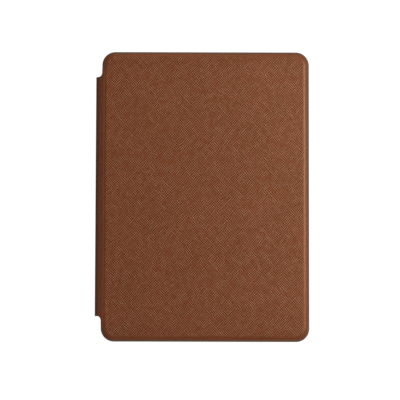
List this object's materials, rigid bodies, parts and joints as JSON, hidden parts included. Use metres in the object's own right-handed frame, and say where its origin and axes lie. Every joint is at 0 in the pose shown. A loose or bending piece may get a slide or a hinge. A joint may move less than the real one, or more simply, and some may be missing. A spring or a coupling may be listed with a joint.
{
  "type": "e-reader in a folio cover",
  "caption": "Slim tablet-sized electronic-paper reader held in a tray, with a leather-covered front board that opens on a narrow folding spine.",
  "frame": {"origin": "middle of the tray's flat back, on the plane that the closed folio rests on", "axes": "+X across the page to the right, away from the spine; +Y up the page; +Z out of the screen, through the front cover"},
  "size_m": [0.1216, 0.165, 0.0143],
  "materials": {
    "leather": "brown bonded leather, cross-hatched emboss, semi-matt",
    "lining": "brushed microfibre, dark brown",
    "tray": "moulded polycarbonate, fine matt texture",
    "board": "grey book board",
    "magnet": "nickel-plated neodymium",
    "stiffener": "polypropylene sheet",
    "shell": "moulded ABS blend, soft-touch matt",
    "bezel": "moulded ABS blend, fine matt texture",
    "gasket": "closed-cell foam",
    "lens": "anti-glare touch film",
    "guide": "clear acrylic",
    "paper": "electronic paper, blank page",
    "flex": "polyimide film",
    "led": "phosphor-coated LED package",
    "chip": "epoxy moulding compound",
    "tape": "double-sided tissue tape",
    "frame": "stamped and passivated sheet",
    "steel": "zinc-plated steel",
    "pcb": "glass-epoxy board, green solder mask",
    "can": "tin-plated steel sheet",
    "connector": "liquid-crystal polymer",
    "pouch": "aluminium laminate pouch",
    "button": "moulded ABS blend, matt",
    "pipe": "frosted polycarbonate",
    "plunger": "moulded nylon"
  },
  "bodies": {
    "reader_and_tray": {"tray": "tray", "back_skin": "leather", "rear_cover": "shell", "front_bezel": "bezel", "display_gasket": "gasket", "screen_lens": "lens", "light_guide": "guide", "led_strip": "flex", "frontlight_leds": "led", "e_paper_panel": "paper", "panel_tape": "tape", "panel_driver": "chip", "mid_frame": "frame", "frame_screws": "steel", "board_screws": "steel", "reader_magnets": "magnet", "main_board": "pcb", "processor_shield": "can", "radio_shield": "can", "board_chips": "chip", "board_passives": "connector", "hall_sensor": "chip", "antenna_clip": "steel", "wifi_antenna": "flex", "panel_flex": "flex", "touch_flex": "flex", "flex_connectors": "connector", "socket_shell": "can", "socket_tongue": "chip", "light_pipe": "pipe", "status_led": "led", "switch_housing": "chip", "battery_cell": "pouch", "battery_board": "pcb", "battery_tab": "steel", "battery_tapes": "tape"},
    "spine": {"spine_skin": "leather", "spine_stiffener": "stiffener", "spine_lining": "lining", "front_crease": "leather", "back_crease": "leather"},
    "front_cover": {"front_skin": "leather", "cover_board": "board", "cover_magnets": "magnet", "sleep_magnet": "magnet", "cover_lining": "lining"},
    "power_key": {"power_button": "button", "switch_plunger": "plunger"}
  },
  "joints": [
    {"name": "spine_fold", "type": "hinge", "parent": "reader_and_tray", "child": "spine", "pos_m": [-0.06112, 0, 0.00173], "axis": [0, -1, 0], "range_deg": [0, 180], "deforming": ["back_crease"]},
    {"name": "cover_fold", "type": "hinge", "parent": "spine", "child": "front_cover", "pos_m": [-0.06112, 0, 0.01252], "axis": [0, -1, 0], "range_deg": [0, 180], "deforming": ["front_crease"]},
    {"name": "power_press", "type": "slide", "parent": "reader_and_tray", "child": "power_key", "axis": [0, 1, 0], "range_m": [0, 0.0004], "stiffness_N_per_m": 4000}
  ]
}
